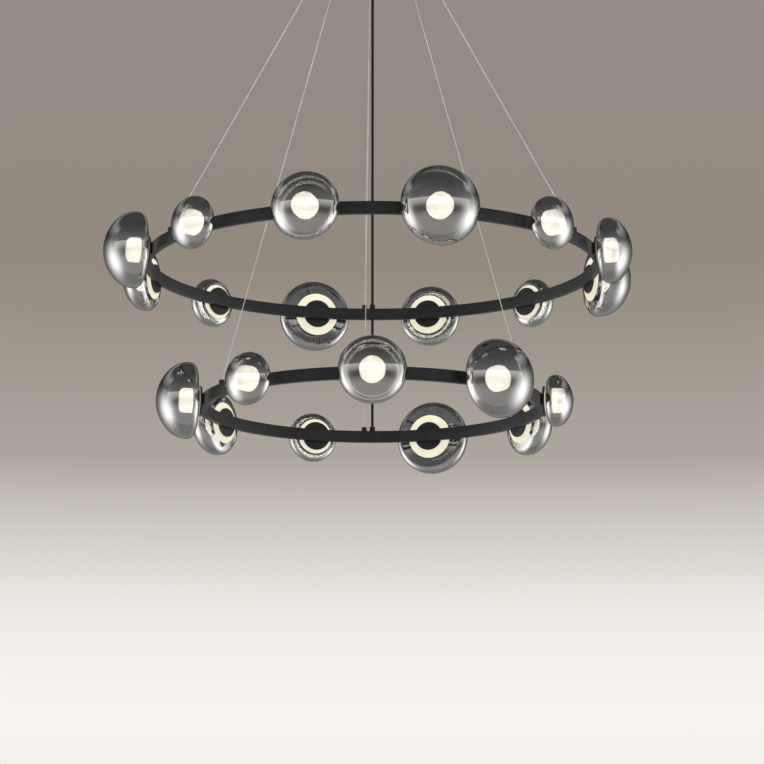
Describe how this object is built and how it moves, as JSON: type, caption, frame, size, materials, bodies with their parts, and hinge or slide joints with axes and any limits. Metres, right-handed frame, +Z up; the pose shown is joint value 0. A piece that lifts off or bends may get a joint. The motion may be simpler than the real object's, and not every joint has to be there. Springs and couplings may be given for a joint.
{
  "type": "ring chandelier",
  "caption": "Tiered ring chandelier: satin black rings with smoky glass LED lamps, hung by thin steel wires and power cables from a round ceiling canopy with adjustable ring heights.",
  "frame": {"origin": "centre of the canopy on the ceiling plane", "axes": "+Z up towards the ceiling, -Y towards the viewer of the picture, +X to the right"},
  "size_m": [0.9292, 0.9292, 0.9005],
  "materials": {
    "black_paint": "satin black powder coat",
    "smoky_glass": "smoke-grey half-mirrored blown glass",
    "opal_diffuser": "lit opal acrylic",
    "bronze_holder": "dark bronze",
    "led_board": "white solder mask",
    "opal_plate": "lit cream acrylic",
    "zinc_steel": "zinc plated",
    "steel_wire": "stranded stainless steel",
    "cable_sheath": "matt black sheath",
    "driver_case": "white moulded case",
    "terminal_plastic": "natural nylon"
  },
  "bodies": {
    "canopy": {"canopy_cover": "black_paint", "ceiling_bracket": "zinc_steel", "cover_screws": "black_paint", "led_driver": "driver_case", "terminal_block": "terminal_plastic", "wire_locks": "black_paint", "lock_nuts": "zinc_steel", "canopy_glands": "black_paint", "gland_nuts": "zinc_steel", "upper_wires": "steel_wire", "upper_cable": "cable_sheath", "lower_wires": "steel_wire", "lower_cable": "cable_sheath"},
    "upper_tier": {"upper_ring": "black_paint", "upper_wire_anchors": "black_paint", "upper_ring_gland": "black_paint", "upper_lamp_discs": "black_paint", "upper_lamp_nipples": "zinc_steel", "upper_shade_plates": "opal_plate", "upper_shade_washers": "bronze_holder", "upper_lamp_holders": "bronze_holder", "upper_led_boards": "led_board", "upper_opal_caps": "opal_diffuser", "upper_shade_01": "smoky_glass", "upper_shade_02": "smoky_glass", "upper_shade_03": "smoky_glass", "upper_shade_04": "smoky_glass", "upper_shade_05": "smoky_glass", "upper_shade_06": "smoky_glass", "upper_shade_07": "smoky_glass", "upper_shade_08": "smoky_glass", "upper_shade_09": "smoky_glass", "upper_shade_10": "smoky_glass", "upper_shade_11": "smoky_glass", "upper_shade_12": "smoky_glass"},
    "lower_tier": {"lower_ring": "black_paint", "lower_wire_anchors": "black_paint", "lower_ring_gland": "black_paint", "lower_lamp_discs": "black_paint", "lower_lamp_nipples": "zinc_steel", "lower_shade_plates": "opal_plate", "lower_shade_washers": "bronze_holder", "lower_lamp_holders": "bronze_holder", "lower_led_boards": "led_board", "lower_opal_caps": "opal_diffuser", "lower_shade_01": "smoky_glass", "lower_shade_02": "smoky_glass", "lower_shade_03": "smoky_glass", "lower_shade_04": "smoky_glass", "lower_shade_05": "smoky_glass", "lower_shade_06": "smoky_glass", "lower_shade_07": "smoky_glass", "lower_shade_08": "smoky_glass", "lower_shade_09": "smoky_glass"}
  },
  "joints": [
    {"name": "upper_ring_height", "type": "slide", "parent": "canopy", "child": "upper_tier", "axis": [0, 0, 1], "range_m": [0, 0.2], "deforming": ["upper_wires", "upper_cable"]},
    {"name": "lower_ring_height", "type": "slide", "parent": "canopy", "child": "lower_tier", "axis": [0, 0, 1], "range_m": [0, 0.2], "deforming": ["lower_wires", "lower_cable"]}
  ]
}
